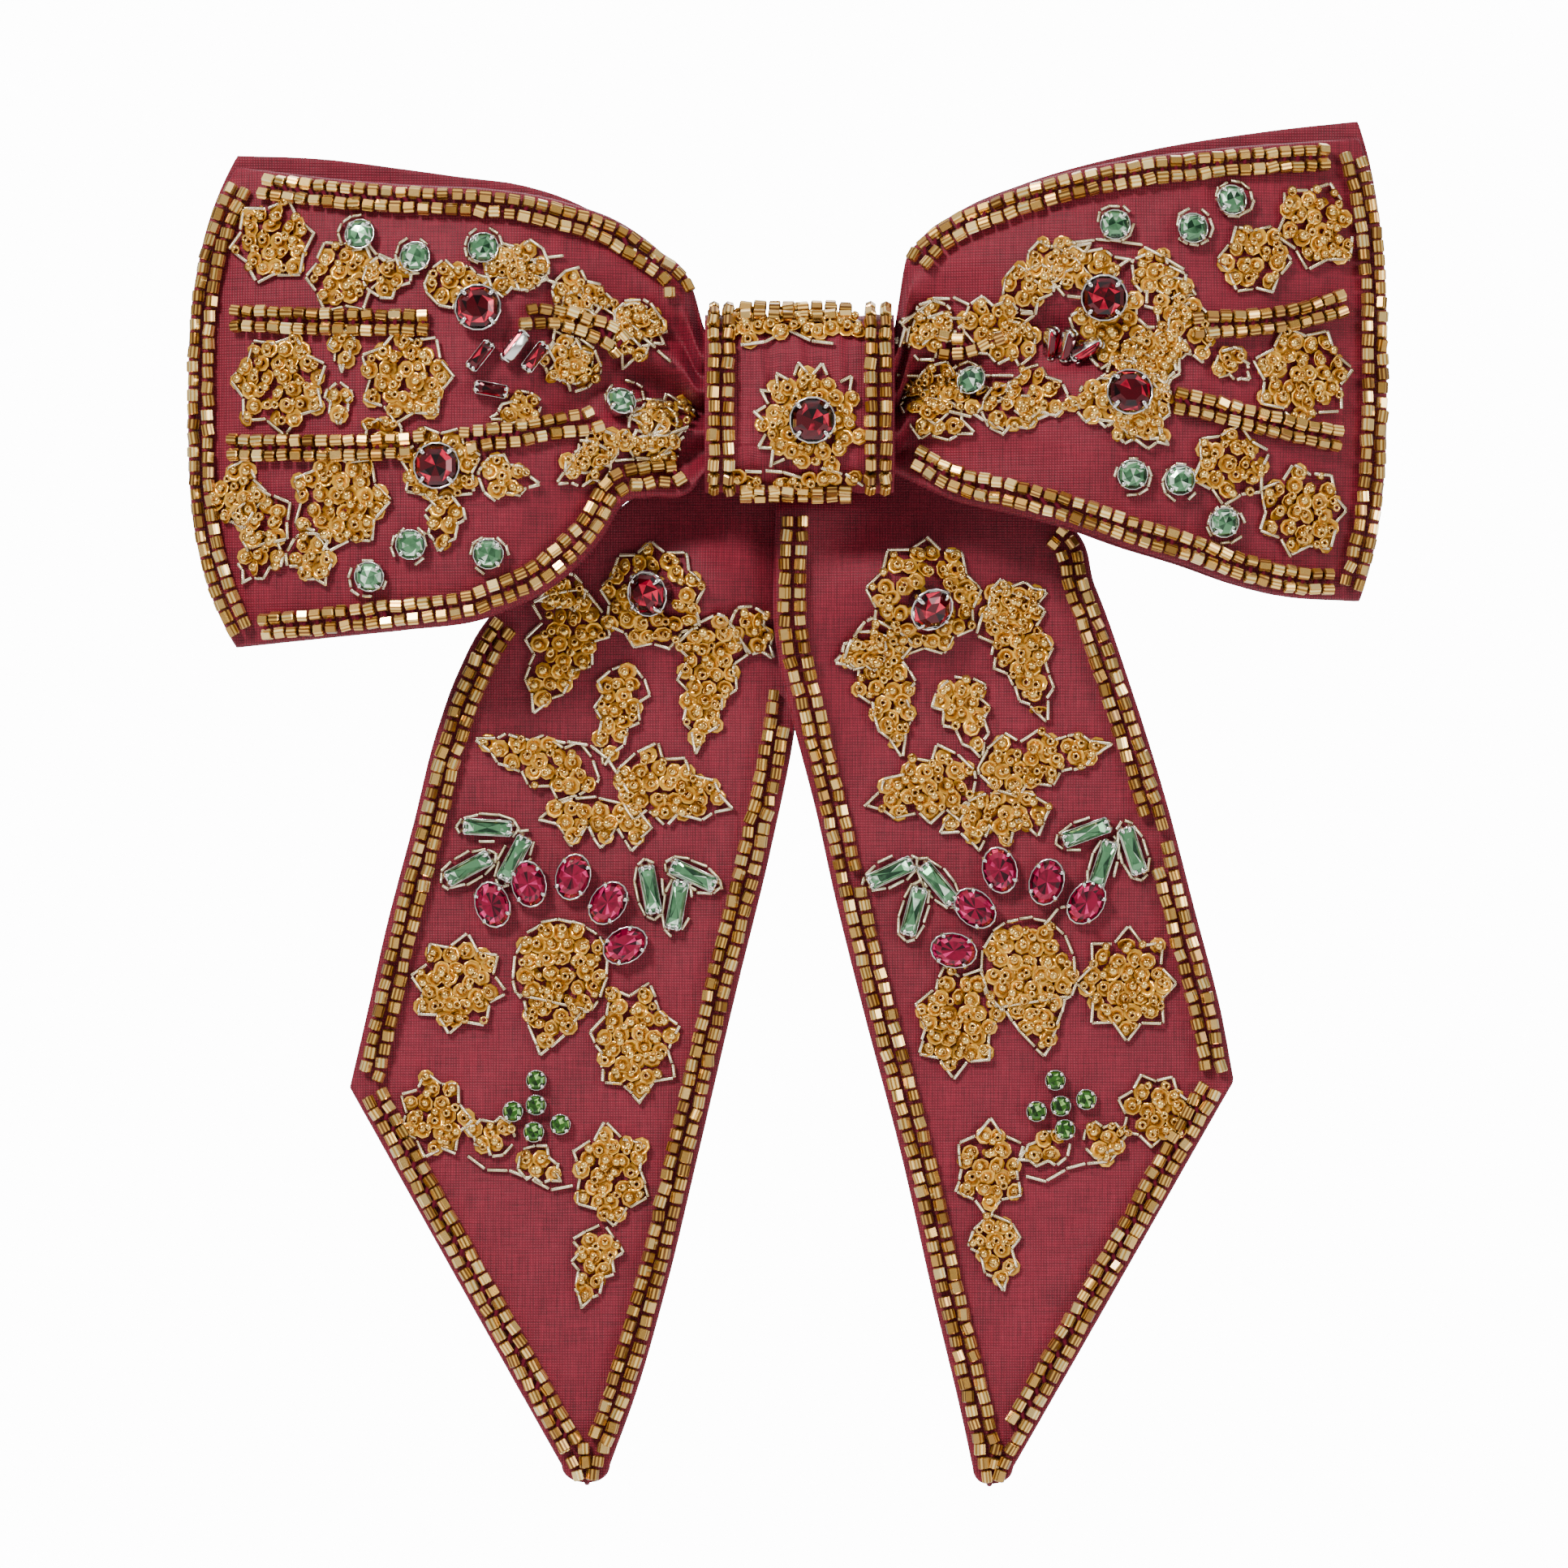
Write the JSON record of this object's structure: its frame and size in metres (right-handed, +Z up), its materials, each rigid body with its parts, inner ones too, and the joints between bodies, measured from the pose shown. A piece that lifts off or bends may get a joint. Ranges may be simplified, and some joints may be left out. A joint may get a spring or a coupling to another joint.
{
  "type": "embellished clip-on bow",
  "caption": "Beaded silk bow with two loops, a knot and two pointed tails, set with glass stones, on a sprung steel clip at the back.",
  "frame": {"origin": "behind the middle of the knot, on the plane where the clip's two jaws meet", "axes": "+Z up, along the tails; the bow's front faces -Y; +X to the viewer's right"},
  "size_m": [0.161, 0.0343, 0.1837],
  "materials": {
    "burgundy_silk": "plain-woven silk with slubs and a soft sheen",
    "lining_silk": "plain-woven lining, soft sheen",
    "interlining": "matt woven interlining",
    "wadding": "matt fibre wadding",
    "felt_pad": "matt wool felt",
    "binding_thread": "twisted thread",
    "gold_glass_beads": "silver-lined pale gold cut glass",
    "silver_settings": "bright silver plate",
    "garnet_glass": "faceted dark red glass",
    "ruby_glass": "faceted ruby red glass",
    "green_glass": "faceted pale green glass",
    "olive_glass": "faceted dark olive glass",
    "clip_steel": "bright nickel-plated steel"
  },
  "bodies": {
    "bow": {"back_pad": "felt_pad", "clip_fixed_jaw": "clip_steel", "clip_hinge_pin": "clip_steel", "clip_spring": "clip_steel", "knot_band": "burgundy_silk", "knot_garnet": "garnet_glass", "knot_garnet_cups": "silver_settings", "knot_padding": "wadding", "knot_ridge_beads": "gold_glass_beads", "knot_side_beads": "gold_glass_beads", "left_loop_back_panel": "burgundy_silk", "left_loop_edge_beads": "gold_glass_beads", "left_loop_fold_beads": "gold_glass_beads", "left_loop_front_panel": "burgundy_silk", "left_loop_garnet_bars": "garnet_glass", "left_loop_garnet_bars_cups": "silver_settings", "left_loop_garnets": "garnet_glass", "left_loop_garnets_cups": "silver_settings", "left_loop_green_stones": "green_glass", "left_loop_green_stones_cups": "silver_settings", "left_loop_rib_beads": "gold_glass_beads", "left_loop_stiffener": "interlining", "left_tail_face": "burgundy_silk", "left_tail_garnet": "garnet_glass", "left_tail_garnet_cups": "silver_settings", "left_tail_inner_edge_beads": "gold_glass_beads", "left_tail_lining": "lining_silk", "left_tail_outer_edge_beads": "gold_glass_beads", "left_tail_point_beads": "gold_glass_beads", "left_tail_stiffener": "interlining", "right_loop_back_panel": "burgundy_silk", "right_loop_edge_beads": "gold_glass_beads", "right_loop_fold_beads": "gold_glass_beads", "right_loop_front_panel": "burgundy_silk", "right_loop_garnet_bars": "garnet_glass", "right_loop_garnet_bars_cups": "silver_settings", "right_loop_garnets": "garnet_glass", "right_loop_garnets_cups": "silver_settings", "right_loop_green_stones": "green_glass", "right_loop_green_stones_cups": "silver_settings", "right_loop_rib_beads": "gold_glass_beads", "right_loop_stiffener": "interlining", "right_tail_face": "burgundy_silk", "right_tail_garnet": "garnet_glass", "right_tail_garnet_cups": "silver_settings", "right_tail_inner_edge_beads": "gold_glass_beads", "right_tail_lining": "lining_silk", "right_tail_outer_edge_beads": "gold_glass_beads", "right_tail_point_beads": "gold_glass_beads", "right_tail_stiffener": "interlining", "tail_green_bars": "green_glass", "tail_green_bars_cups": "silver_settings", "tail_olive_stones": "olive_glass", "tail_olive_stones_cups": "silver_settings", "tail_ruby_ovals": "ruby_glass", "tail_ruby_ovals_cups": "silver_settings", "waist_binding_thread": "binding_thread"},
    "clip_jaw": {"clip_moving_jaw": "clip_steel"}
  },
  "joints": [
    {"name": "clip_jaw_hinge", "type": "hinge", "parent": "bow", "child": "clip_jaw", "pos_m": [0.012, 0.0024, 0], "axis": [0, 0, -1], "range_deg": [0, 30], "stiffness_Nm_per_rad": 0.05, "springref_deg": -28.65, "deforming": ["clip_spring"]}
  ]
}
